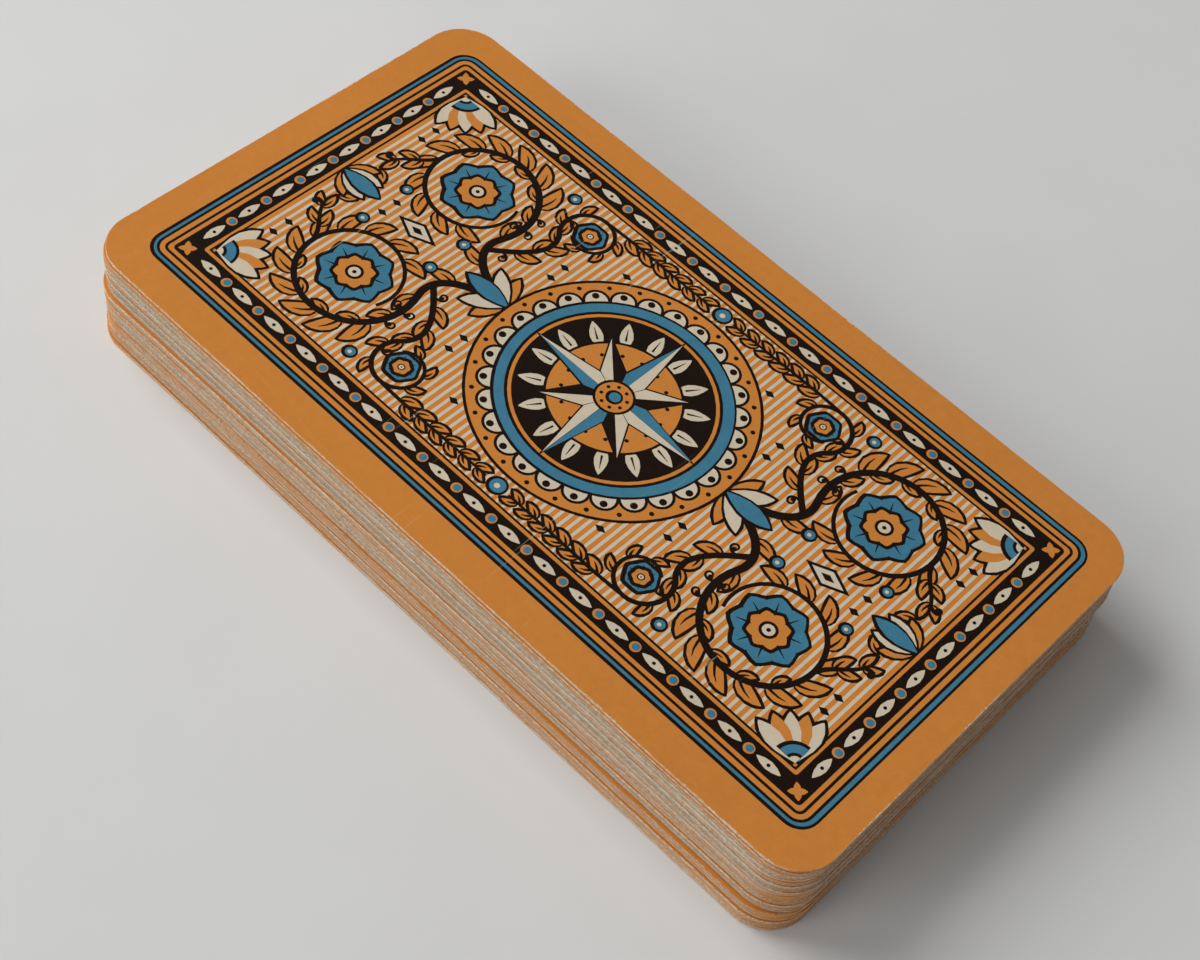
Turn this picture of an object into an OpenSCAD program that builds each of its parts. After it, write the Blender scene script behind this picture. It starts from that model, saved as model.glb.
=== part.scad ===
// Skat pack of long-format German-suited playing cards, squared up and lying face down.
// Every card is a separate plate of pasteboard. The origin is the middle of the
// bottom card's face, on the table, with Y along the cards and Z up the pack.

/* [Card] */
// Width of a card
card_w = 56; // [50:0.5:64]
// Length of a card
card_l = 100; // [85:0.5:112]
// Thickness of the pasteboard
card_t = 0.36; // [0.26:0.01:0.5]
// Radius of the punched corners
corner_r = 5; // [2:0.25:8]

/* [Pack] */
// Air that a used card's bow leaves under it
air_gap = 0.044; // [0.02:0.002:0.1]
// How far the packets stand in or out along the pack's long sides, 1 as the pack lies
packet_spread = 1; // [0:0.1:3]
// Largest stray of one card from its packet, sideways and lengthwise
card_stray = 0.05; // [0:0.01:0.3]
// Draw of the stray
stray_draw = 7; // [1:1:99]

/* [Colours] */
// Ground colour of the printed backs
back_colour = "#c68240"; // ["#c68240":Orange, "#4280a0":Blue, "#cfc4ae":Cream]

/* [Hidden] */
suits = ["bells", "hearts", "leaves", "acorns"];
ranks = ["seven", "eight", "nine", "ten", "under", "over", "king", "ace"];

// The cards from the bottom of the pack to its top
NODES = [for (suit = suits, rank = ranks) str(rank, "_of_", suit)];

card_count = len(NODES);
card_pitch = card_t + air_gap;

// Stations up the pack, [card, how far its left side stands out in mm], at the pack's two
// ends. Between two stations the cards creep, and a drop to the next card is a ledge where
// the lower card's back shows.
near_end_stations = [
    [0, 0], [4, 0.16], [5, -0.18], [8, 0.06], [9, -0.4], [12, -0.2], [13, -0.36],
    [22, 0], [29, 0.12], [30, 0.06], [31, -0.1]
];
far_end_stations = [
    [0, 0], [1, -0.24], [10, 0], [18, 0.26], [19, -0.12], [28, 0.02], [30, 0.12], [31, -0.1]
];
// Stations of the cards' place along the pack
lengthwise_stations = [
    [0, 0], [3, 0.1], [4, -0.12], [12, 0.06], [18, 0.18], [19, -0.14], [27, 0.1], [31, 0]
];

// A card's own stray: three draws for each card, and none for the bottom card
stray_draws = rands(-1, 1, 3 * card_count, stray_draw);
function stray(card, way) = card == 0 ? 0 : card_stray * stray_draws[3 * card + way];

function near_end(card) = packet_spread * lookup(card, near_end_stations) + stray(card, 0);
function far_end(card) = packet_spread * lookup(card, far_end_stations) + stray(card, 1);
function shift_x(card) = -(near_end(card) + far_end(card)) / 2;
function shift_y(card) = packet_spread * lookup(card, lengthwise_stations) + stray(card, 2);
function turn(card) = asin((far_end(card) - near_end(card)) / card_l);

// Outline of a card: a rectangle with true arcs at its corners
module card_outline() {
    for (x = [-1, 1], y = [-1, 1])
        translate([x * (card_w / 2 - corner_r), y * (card_l / 2 - corner_r)])
            circle(r = corner_r, $fn = 64);
    square([card_w, card_l - 2 * corner_r], center = true);
    square([card_w - 2 * corner_r, card_l], center = true);
}

// One card, printed back up, in the colour of its back
module card() {
    color(back_colour)
        linear_extrude(card_t) card_outline();
}

// A card at its place in the pack
module card_in_pack(place) {
    translate([shift_x(place), shift_y(place), place * card_pitch])
        rotate([0, 0, turn(place)])
            card();
}

for (place = [0 : card_count - 1])
    card_in_pack(place);
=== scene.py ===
"""Looks of a squared pack of skat cards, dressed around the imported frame.

Each card is one closed mesh with a printed back, a printed face and a soft-cut rim. A print is
a stack of flat outlines in millimetres. It is cut into one layer of facets that never overlap,
and a facet takes the ink that lies on top, so that each ink has a material of its own.
"""
import logging
from collections.abc import Iterator
from dataclasses import dataclass, field
from enum import Enum

import bmesh
import bpy
import numpy as np
from mathutils import Euler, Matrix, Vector
from mathutils.geometry import delaunay_2d_cdt
from numpy.typing import NDArray


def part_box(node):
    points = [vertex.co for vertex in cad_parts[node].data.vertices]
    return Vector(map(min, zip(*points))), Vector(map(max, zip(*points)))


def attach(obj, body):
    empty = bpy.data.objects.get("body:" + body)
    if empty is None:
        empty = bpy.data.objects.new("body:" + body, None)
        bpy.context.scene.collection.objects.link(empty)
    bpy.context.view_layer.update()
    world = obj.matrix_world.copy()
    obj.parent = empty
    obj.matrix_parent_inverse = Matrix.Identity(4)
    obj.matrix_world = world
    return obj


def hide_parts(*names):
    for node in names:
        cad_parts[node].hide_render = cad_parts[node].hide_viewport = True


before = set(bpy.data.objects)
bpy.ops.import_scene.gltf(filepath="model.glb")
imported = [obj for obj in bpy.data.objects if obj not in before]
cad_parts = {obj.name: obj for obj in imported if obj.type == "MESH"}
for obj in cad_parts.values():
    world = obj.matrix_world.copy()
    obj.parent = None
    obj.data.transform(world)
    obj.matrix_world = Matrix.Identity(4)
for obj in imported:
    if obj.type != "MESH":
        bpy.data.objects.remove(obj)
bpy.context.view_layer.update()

log = logging.getLogger("skat_pack")

Points = NDArray[np.float64]
Indices = NDArray[np.int64]
Pair = tuple[float, float]
Triple = tuple[float, float, float]
Colour = tuple[float, float, float, float]
Socket = bpy.types.NodeSocket
Feed = Socket | float | tuple[float, ...]

MM = 0.001
FULL_TURN = 2.0 * np.pi
QUARTER_TURN = FULL_TURN / 4
MIDDLE = (0.0, 0.0)
# Signs of x and y at the four corners, anticlockwise, and the points of a diamond
CORNER_SIGNS = ((1, 1), (-1, 1), (-1, -1), (1, -1))
DIAMOND = np.array([[1, 0], [0, 1], [-1, 0], [0, -1]])
# Half width of a vein from its root to its tip, in mm
VEIN = np.array([0.13, 0.03])
# How far a chord may leave its arc, in mm, and at most as a share of the radius
ARC_SAG = 0.018
ARC_COARSEST = 0.3
# Width of the dark line round a printed shape, and the least radius of a frame's corner, in mm
INK_LINE = 0.3
LEAST_CORNER = 0.12
# How far the dark line runs past a leaf's tip, in its own widths, and a leaf's least half width in mm
LEAF_TIP = 1.4
LEAF_LEAST = 0.015
# Points of a print that lie closer than this, in mm, are one
PRINT_GRIP = 1e-4
# Furthest that the rim of a print may lie off the card's edge, in mm
RIM_SLIP = 0.01
# Half height of the largest suit sign, in mm
LARGEST_SIGN = 14.0
# Millimetres to one unit of the cards' UV map
UV_SPAN = 100.0


class Ink(Enum):
    """What covers a patch of a card, by the patch's material slot."""

    BOARD = 0
    PAPER = 1
    ORANGE = 2
    BLUE = 3
    BLACK = 4
    RED = 5
    GREEN = 6
    GOLD = 7


class Suit(Enum):
    """Suits of the pack."""

    BELLS = "bells"
    HEARTS = "hearts"
    LEAVES = "leaves"
    ACORNS = "acorns"


class Rank(Enum):
    """Ranks of the pack."""

    SEVEN = "seven"
    EIGHT = "eight"
    NINE = "nine"
    TEN = "ten"
    UNDER = "under"
    OVER = "over"
    KING = "king"
    ACE = "ace"


Mark = list[tuple[Ink, Points]]
# Inks with a width, a radius or a share each, from the outermost or lowest
Rings = tuple[tuple[Ink, float], ...]


# Outlines


def polar(radius: float, angle: float) -> Points:
    """Point at a radius and an angle from the middle."""
    return radius * np.array([np.cos(angle), np.sin(angle)])


def arc(radius: float, start: float, end: float, place: Points | Pair = MIDDLE) -> Points:
    """Arc of a circle, in as many equal chords as keep within ARC_SAG of it.

    Args:
        radius: Radius of the circle.
        start: Angle of the first point.
        end: Angle of the last point.
        place: Middle of the circle.

    Returns:
        Points from start to end, both included.
    """
    step = 2.0 * np.arccos(1.0 - min(ARC_SAG / radius, ARC_COARSEST))
    angles = np.linspace(start, end, int(np.ceil(abs(end - start) / step)) + 1)
    return np.stack([radius * np.cos(angles), radius * np.sin(angles)], axis=1) + np.asarray(place)


def disc(radius: float, place: Points | Pair = MIDDLE) -> Points:
    """Full circle as a closed outline."""
    return arc(radius, 0.0, FULL_TURN, place)[:-1]


def around(count: int, start: float = 0.0) -> Points:
    """Angles of even steps round the middle, from a share of a step on."""
    return (np.arange(count) + start) * FULL_TURN / count


def rounded_box(half: Points | Pair, radius: float) -> Points:
    """Rectangle with an arc at each corner.

    Args:
        half: Half its width and half its length.
        radius: Radius of its corners.

    Returns:
        Closed outline, anticlockwise.
    """
    middle = np.asarray(half) - radius
    arcs = [
        arc(radius, k * QUARTER_TURN, (k + 1) * QUARTER_TURN, middle * signs)
        for k, signs in enumerate(CORNER_SIGNS)
    ]
    return np.concatenate(arcs)


def turned(outline: Points, angle: float, place: Points | Pair = MIDDLE) -> Points:
    """Outline turned about the middle and then moved to a place."""
    c, s = np.cos(angle), np.sin(angle)
    return outline @ np.array([[c, s], [-s, c]]) + np.asarray(place)


def wheel(outline: Points, angles: Points, place: Points | Pair = MIDDLE) -> Iterator[Points]:
    """Copies of an outline, turned by each of the angles and moved to a place."""
    return (turned(outline, angle, place) for angle in angles)


def ring_of_discs(radius: float, reach: float, angles: Points) -> Iterator[Points]:
    """Circles at a reach from the middle, one at each of the angles."""
    return (disc(radius, polar(reach, angle)) for angle in angles)


def stroke(path: Points, half_width: float | Points) -> Points:
    """Pen stroke: the path set off to both sides, square to its run, by half the pen's width.

    Args:
        path: Points along the middle of the stroke.
        half_width: Half the width, one number or one for each point.

    Returns:
        Closed outline of the stroke.
    """
    run = np.gradient(path, axis=0)
    run /= np.linalg.norm(run, axis=1, keepdims=True)
    side = np.stack([-run[:, 1], run[:, 0]], axis=1) * np.broadcast_to(half_width, len(path))[:, None]
    return np.concatenate([path - side, (path + side)[::-1]])


def cubic(a: Points | Pair, b: Pair, c: Pair, d: Points | Pair, steps: int = 14) -> Points:
    """Curve drawn towards two points: all four are weighed by the terms of (1 - t + t) cubed.

    Args:
        a: First point.
        b: Point that it sets out towards.
        c: Point that it comes in from.
        d: Last point.
        steps: Points along it.

    Returns:
        Points from a to d.
    """
    t = np.linspace(0.0, 1.0, steps)[:, None]
    ends = (1 - t) ** 3 * np.asarray(a) + t**3 * np.asarray(d)
    return ends + 3 * (1 - t) ** 2 * t * np.asarray(b) + 3 * (1 - t) * t**2 * np.asarray(c)


def spiral(eye: Pair, radii: Pair, angles: Pair, steps: int = 50) -> Points:
    """Spiral whose radius and angle both change evenly along it.

    Args:
        eye: Its middle.
        radii: First and last radius.
        angles: First and last angle.
        steps: Points along it.

    Returns:
        Points from the first radius to the last.
    """
    radius = np.linspace(*radii, steps)
    angle = np.linspace(*angles, steps)
    return np.asarray(eye) + np.stack([radius * np.cos(angle), radius * np.sin(angle)], axis=1)


def sprung(place: Points, heading: float, length: float, curl: float, steps: int = 16) -> Points:
    """Tendril: a curve that turns by a power of its run, so that it winds up towards its tip.

    Args:
        place: Its root.
        heading: Angle at which it leaves the root.
        length: Length along the curve.
        curl: Angle that it turns by from root to tip, to the left if positive.
        steps: Points along it.

    Returns:
        Points from root to tip.
    """
    angle = heading + curl * np.linspace(0.0, 1.0, steps) ** 1.8
    run = np.stack([np.cos(angle), np.sin(angle)], axis=1) * length / (steps - 1)
    middle = np.cumsum((run[1:] + run[:-1]) / 2, axis=0)
    return np.asarray(place) + np.concatenate([np.zeros((1, 2)), middle])


def leaf(length: float, width: float, bend: float = 0.0, belly: float = 0.75, margin: float = 0.0,
         steps: int = 8) -> Points:
    """Leaf that grows from the middle along x, on an arc, its half width a power of a sine.

    Args:
        length: Length along the arc.
        width: Greatest width.
        bend: Angle that the arc turns by from root to tip.
        belly: Under 1 puts the greatest width nearer the root, over 1 nearer the tip.
        margin: Extra width and length for the leaf's dark outline, which thins out at the tip.
        steps: Points along one side.

    Returns:
        Closed outline of the leaf.
    """
    t = 0.5 - 0.5 * np.cos(np.pi * np.linspace(0.0, 1.0, steps))
    reach = t * (length + LEAF_TIP * margin)
    half_turn = bend / length * reach / 2
    chord = reach * np.sinc(half_turn / np.pi)
    path = np.stack([chord * np.cos(half_turn), chord * np.sin(half_turn)], axis=1)
    # The dark outline thins out over the last fifth of the leaf
    thinning = np.minimum(1.0, 4.0 * (1.0 - t) + 0.15)
    half = width / 2 * np.sin(np.pi * t**belly) ** 0.8 + margin * thinning
    return stroke(path, np.maximum(half, LEAF_LEAST))


# Print


def outlined(ink: Ink) -> tuple[tuple[float, Ink], tuple[float, Ink]]:
    """Margin and ink of a shape's dark outline, and of the shape itself over it."""
    return (INK_LINE, Ink.BLACK), (0.0, ink)


@dataclass
class Sheet:
    """Printed side of a card: closed outlines in mm about its middle, laid one over another."""

    outlines: list[Points] = field(default_factory=list)
    inks: list[Ink] = field(default_factory=list)

    def lay(self, ink: Ink, *outlines: Points) -> None:
        """Lay outlines of one ink on top, each turned to run anticlockwise.

        Args:
            ink: Their ink.
            outlines: The outlines, from the lowest.
        """
        for outline in outlines:
            x, y = outline.T
            area = np.sum(x * np.roll(y, -1) - y * np.roll(x, -1))
            self.outlines.append(outline if area > 0 else outline[::-1])
            self.inks.append(ink)

    def lay_quartered(self, ink: Ink, *outlines: Points) -> None:
        """Lay outlines and their mirror images in the four quarters of the card."""
        for outline in outlines:
            self.lay(ink, *(outline * (sx, sy) for sx in (1, -1) for sy in (1, -1)))

    def lay_discs(self, steps: Rings, radius: float = 0.0) -> None:
        """Lay discs about the middle, each larger than a radius by its step."""
        for ink, step in steps:
            self.lay(ink, disc(radius + step))

    def lay_frames(self, steps: Rings, half: Points | Pair, radius: float) -> Points:
        """Lay nested frames.

        Args:
            steps: Ink and width of each frame, from the outermost.
            half: Half the width and half the length of the outermost frame.
            radius: Its corner radius.

        Returns:
            Half the width and half the length of what is left inside.
        """
        half = np.asarray(half)
        for ink, width in steps:
            self.lay(ink, rounded_box(half, max(radius, LEAST_CORNER)))
            half, radius = half - width, radius - width
        return half


@dataclass
class Facets:
    """Print cut into triangles: points in mm, those of the rim first, each triangle's corners and its ink."""

    points: Points
    corners: Indices
    inks: Indices

    @classmethod
    def cut(cls, sheet: Sheet, rim: Points, ground: Ink) -> "Facets":
        """Cut a sheet along its outlines, drop the edges between like inks and cut it into triangles.

        Args:
            sheet: Outlines in the order in which they lie, all within the rim.
            rim: Outline of the sheet itself, anticlockwise.
            ground: Ink of the bare sheet.

        Returns:
            Triangles that cover the sheet once, each in the ink of the topmost outline over it.
        """
        outlines = [rim, *sheet.outlines]
        inks = np.array([ink.value for ink in (ground, *sheet.inks)])
        ends = np.cumsum([len(outline) for outline in outlines]).tolist()
        loops = [list(range(start, end)) for start, end in zip([0, *ends], ends)]
        inside_only = 1
        points, _, faces, _, _, covers = delaunay_2d_cdt(
            np.concatenate(outlines).tolist(), [], loops, inside_only, PRINT_GRIP, True)
        draft = bpy.data.meshes.new("print")
        draft.from_pydata(np.pad(np.array(points), ((0, 0), (0, 1))).tolist(), [], faces)
        draft.polygons.foreach_set("material_index", inks[[max(cover) for cover in covers]].astype(np.int32))
        cutter = bmesh.new()
        cutter.from_mesh(draft)
        cutter.verts.ensure_lookup_table()
        # All the points of the rim stay, for the card's edge to join on to
        bmesh.ops.dissolve_limit(cutter, angle_limit=0.001, use_dissolve_boundaries=False,
                                 verts=cutter.verts[len(rim):], edges=cutter.edges, delimit={"MATERIAL"})
        bmesh.ops.triangulate(cutter, faces=cutter.faces, quad_method="BEAUTY", ngon_method="BEAUTY")
        cutter.to_mesh(draft)
        cutter.free()
        cut = cls(
            read(draft.vertices, "co", 3).astype(np.float64)[:, :2],
            read(draft.loops, "vertex_index").astype(np.int64).reshape(-1, 3),
            read(draft.polygons, "material_index").astype(np.int64),
        )
        bpy.data.meshes.remove(draft)
        return cut

    def ring(self, rim: Points) -> Indices:
        """Number of the rim's point at each place on the rim.

        Args:
            rim: The places.

        Returns:
            The numbers, in the order of the places.
        """
        gaps = np.linalg.norm(rim[:, None] - self.points[:len(rim)], axis=2)
        slip = gaps.min(axis=1).max()
        if slip > RIM_SLIP:
            log.warning("rim off its points by %.3f mm", slip)
        return gaps.argmin(axis=1)


def read(items: bpy.types.bpy_prop_collection, name: str, width: int = 1) -> NDArray:
    """Read one property of all items.

    Args:
        items: The items.
        name: The property.
        width: How many numbers it has: 1 is a whole number, and more are fractions.

    Returns:
        The numbers, with a column for each if there are several.
    """
    kind = np.float32 if width > 1 else np.int32
    values = np.empty(len(items) * width, kind)
    items.foreach_get(name, values)
    return values.reshape(-1, width) if width > 1 else values


# Ornament of the backs


@dataclass
class BeadStrip:
    """Dark strip round the field, with long pale eyes and round beads on it in turn."""

    width: float = 2.3
    corner: float = 0.5
    counts: tuple[int, int] = (8, 17)
    corner_room: float = 1.2
    eye_share: float = 0.62
    eye_width: float = 1.05
    pupil_share: float = 0.2
    bead: float = 0.62
    bead_heart_share: float = 0.7
    corner_petal: Pair = (1.0, 0.7)

    def print_on(self, sheet: Sheet, half: Points) -> None:
        """Lay the strip, with a small flower at each corner.

        Args:
            sheet: Sheet to print on.
            half: Half the width and half the length to the strip's outer edge.
        """
        sheet.lay(Ink.BLACK, rounded_box(half, self.corner))
        middle = half - self.width / 2
        for way, count in enumerate(self.counts):
            run = np.eye(2)[way]
            across = np.eye(2)[1 - way] * middle[1 - way]
            pitch = 2 * (middle[way] - self.corner_room) / count
            eye_length = self.eye_share * pitch
            eye = leaf(eye_length, self.eye_width, belly=1.0, steps=7) - (eye_length / 2, 0.0)
            eye = turned(eye, way * QUARTER_TURN)
            for k in range(count):
                for side in (across, -across):
                    place = side + run * pitch * (k - (count - 1) / 2)
                    sheet.lay(Ink.PAPER, eye + place)
                    sheet.lay(Ink.BLACK, disc(self.pupil_share * self.eye_width, place))
                    if k:
                        between = place - run * pitch / 2
                        sheet.lay(Ink.ORANGE, disc(self.bead, between))
                        sheet.lay(Ink.BLUE, disc(self.bead_heart_share * self.bead, between))
        sheet.lay_quartered(Ink.ORANGE, *wheel(leaf(*self.corner_petal), around(4, 0.5), middle))


@dataclass
class RuledGround:
    """Field of level lines of bare paper, left out under the medallion, and sown with small seeds."""

    pitch: float = 0.868
    paper_share: float = 0.42
    seed: Pair = (0.42, 0.7)
    seed_pitch: Pair = (2.2, 2.604)
    clearance: float = 0.85

    def print_on(self, sheet: Sheet, half: Points, gap_radius: float) -> None:
        """Lay the lines across the field, and end them just inside the round gap.

        Args:
            sheet: Sheet to print on.
            half: Half the width and half the length of the field.
            gap_radius: Radius of the gap.
        """
        half_w, half_l = half
        count = int(2 * half_l / self.pitch)
        half_line = self.pitch * self.paper_share / 2
        for y in (np.arange(count) - (count - 1) / 2) * self.pitch:
            low, high = y - half_line, y + half_line
            reach = np.sqrt(max(gap_radius**2 - (abs(y) + half_line) ** 2, 0.0))
            for start, end in ((-half_w, -reach), (reach, half_w)) if reach else ((-half_w, half_w),):
                sheet.lay(Ink.PAPER, np.array([[start, low], [end, low], [end, high], [start, high]]))

    def sow_on(self, sheet: Sheet, half: Points, gap_radius: float) -> None:
        """Lay seeds in staggered rows, wherever the ground is clear of every motif.

        Args:
            sheet: Sheet with the motifs, which the seeds are laid beside.
            half: Half the width and half the length of the field.
            gap_radius: Radius of the gap under the medallion.
        """
        taken = np.concatenate(sheet.outlines)
        across, along = (int(reach / step) for reach, step in zip(half, self.seed_pitch))
        rows, columns = np.mgrid[-along:along + 1, -across:across + 2]
        places = np.stack([columns - 0.5 * (rows % 2), rows], axis=-1).reshape(-1, 2) * self.seed_pitch
        within = np.all(np.abs(places) < half - self.clearance, axis=1)
        for place in places[within & (np.hypot(*places.T) > gap_radius + self.clearance)]:
            if np.min(np.hypot(*(taken - place).T)) > self.clearance:
                sheet.lay(Ink.BLACK, DIAMOND * self.seed + place)


@dataclass
class Rosette:
    """Flower of even veined petals round an inner flower and a heart, by shares of its radius."""

    radius: float = 4.1
    petals: int = 8
    belly: float = 1.5
    vein_span: Pair = (0.5, 0.84)
    inner_size: Pair = (0.55, 0.52)
    heart: Rings = ((Ink.BLACK, 0.25), (Ink.PAPER, 0.17), (Ink.BLACK, 0.06))

    def print_on(self, sheet: Sheet, place: Pair) -> None:
        """Lay the flower in each quarter of the card.

        Args:
            sheet: Sheet to print on.
            place: Its middle in the first quarter.
        """
        angles = around(self.petals, 0.5)
        width = 2.0 * self.radius * np.sin(np.pi / self.petals)
        root, tip = self.vein_span
        vein = stroke(self.radius * np.array([[root, 0.0], [tip, 0.0]]), VEIN)
        length_share, width_share = self.inner_size
        self._ring(sheet, place, angles, (self.radius, width), Ink.BLUE)
        sheet.lay_quartered(Ink.BLACK, *wheel(vein, angles, place))
        inner = (length_share * self.radius, width_share * width)
        self._ring(sheet, place, angles + np.pi / self.petals, inner, Ink.ORANGE)
        for ink, share in self.heart:
            sheet.lay_quartered(ink, disc(share * self.radius, place))

    def _ring(self, sheet: Sheet, place: Pair, angles: Points, size: Pair, ink: Ink) -> None:
        """Lay one ring of petals, each with its dark outline under it.

        Args:
            sheet: Sheet to print on.
            place: Middle of the ring.
            angles: Where the petals point.
            size: Length and width of a petal.
            ink: Its ink.
        """
        for margin, fill in outlined(ink):
            petal = leaf(*size, belly=self.belly, margin=margin)
            sheet.lay_quartered(fill, *wheel(petal, angles, place))


@dataclass
class CompassMedallion:
    """Round medallion: a scalloped rim, a banded ring, a ring of leaves and an eight-pointed star."""

    radius: float = 15.9
    # Steps in to the dark line at its edge, and from the rim in to each band
    edge: Rings = ((Ink.BLACK, 0.0), (Ink.ORANGE, -0.35))
    bands: Rings = (
        (Ink.BLACK, -0.05), (Ink.BLUE, -0.35), (Ink.BLACK, -1.5), (Ink.ORANGE, -1.85), (Ink.BLACK, -2.25))
    rim_width: float = 2.85
    scallops: int = 28
    # How much of its pitch a scallop fills, half the turn of its arc, and half the width of its line
    scallop_share: float = 0.96
    scallop_turn: float = 0.54 * np.pi
    scallop_line: float = 0.16
    # Radius and reach past the rim of the dots in the scallops and between them, by the scallop's
    # radius but for the radius of those between, which is in mm
    scallop_dot: Pair = (0.3, 0.5)
    gap_dot: Pair = (0.28, 1.3)
    leaves: int = 16
    leaf_size: Pair = (3.3, 1.5)
    leaf_vein: Pair = (0.8, 2.5)
    # Share of the star at which the leaves stand, on a collar with a line round it and dots within
    leaf_foot: float = 0.64
    collar: Rings = ((Ink.BLACK, 0.5), (Ink.ORANGE, 0.2))
    collar_dot: Pair = (0.24, 0.52)
    star: float = 10.9
    short_share: float = 0.72
    waist: float = 3.5
    # How far a point's dark outline runs past its tip, and how it is drawn out at the waist
    point_line: float = 0.7
    point_swell: Pair = (1.04, 1.12)
    boss: Rings = ((Ink.BLACK, 2.3), (Ink.ORANGE, 2.0))
    boss_dots: int = 8
    boss_dot: Pair = (0.22, 1.45)
    boss_heart: Rings = ((Ink.BLACK, 0.95), (Ink.BLUE, 0.65))

    def print_on(self, sheet: Sheet) -> None:
        """Lay the medallion in the middle of the card.

        Args:
            sheet: Sheet to print on.
        """
        rim = self.radius - self.rim_width
        sheet.lay_discs(self.edge, self.radius)
        angles = around(self.scallops)
        between = angles + np.pi / self.scallops
        lobe = self.scallop_share * np.pi * rim / self.scallops
        for margin, ink in ((self.scallop_line, Ink.BLACK), (-self.scallop_line, Ink.PAPER)):
            scallop = arc(lobe + margin, -self.scallop_turn, self.scallop_turn, (rim, 0.0))
            sheet.lay(ink, *wheel(scallop, angles))
        size, reach = self.scallop_dot
        sheet.lay(Ink.BLACK, *ring_of_discs(size * lobe, rim + reach * lobe, angles))
        size, reach = self.gap_dot
        sheet.lay(Ink.BLACK, *ring_of_discs(size, rim + reach * lobe, between))
        sheet.lay_discs(self.bands, rim)
        self._leaf_ring(sheet)
        self._star(sheet)

    def _leaf_ring(self, sheet: Sheet) -> None:
        """Lay the ring of pale leaves that stand outwards between the points of the star.

        Args:
            sheet: Sheet to print on.
        """
        angles = around(self.leaves, 0.5)
        foot = self.leaf_foot * self.star
        for margin, ink in outlined(Ink.PAPER):
            blade = leaf(*self.leaf_size, margin=margin) + (foot, 0.0)
            sheet.lay(ink, *wheel(blade, angles))
        vein = stroke(np.array([[foot + end, 0.0] for end in self.leaf_vein]), VEIN)
        sheet.lay(Ink.BLACK, *wheel(vein, angles))
        sheet.lay_discs(self.collar, foot)
        size, reach = self.collar_dot
        sheet.lay(Ink.BLACK, *ring_of_discs(size, reach * self.star, angles))

    def _star(self, sheet: Sheet) -> None:
        """Lay four short points, four long ones over them, each split along its middle, and the boss.

        Args:
            sheet: Sheet to print on.
        """
        notch = polar(self.waist, FULL_TURN / 16)
        along, across = self.point_swell
        for length, start, left, right in (
            (self.short_share * self.star, FULL_TURN / 8, Ink.PAPER, Ink.BLACK),
            (self.star, 0.0, Ink.BLUE, Ink.PAPER),
        ):
            half = np.array([[0.0, 0.0], [length, 0.0], notch])
            tip = [length + self.point_line, 0.0]
            edge = np.array([[0.0, 0.0], notch * (along, -across), tip, notch * (along, across)])
            for angle in start + around(4):
                sheet.lay(Ink.BLACK, turned(edge, angle))
                sheet.lay(left, turned(half, angle))
                sheet.lay(right, turned(half * (1, -1), angle))
        sheet.lay_discs(self.boss)
        sheet.lay(Ink.BLACK, *ring_of_discs(*self.boss_dot, around(self.boss_dots, 0.5)))
        sheet.lay_discs(self.boss_heart)


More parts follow.
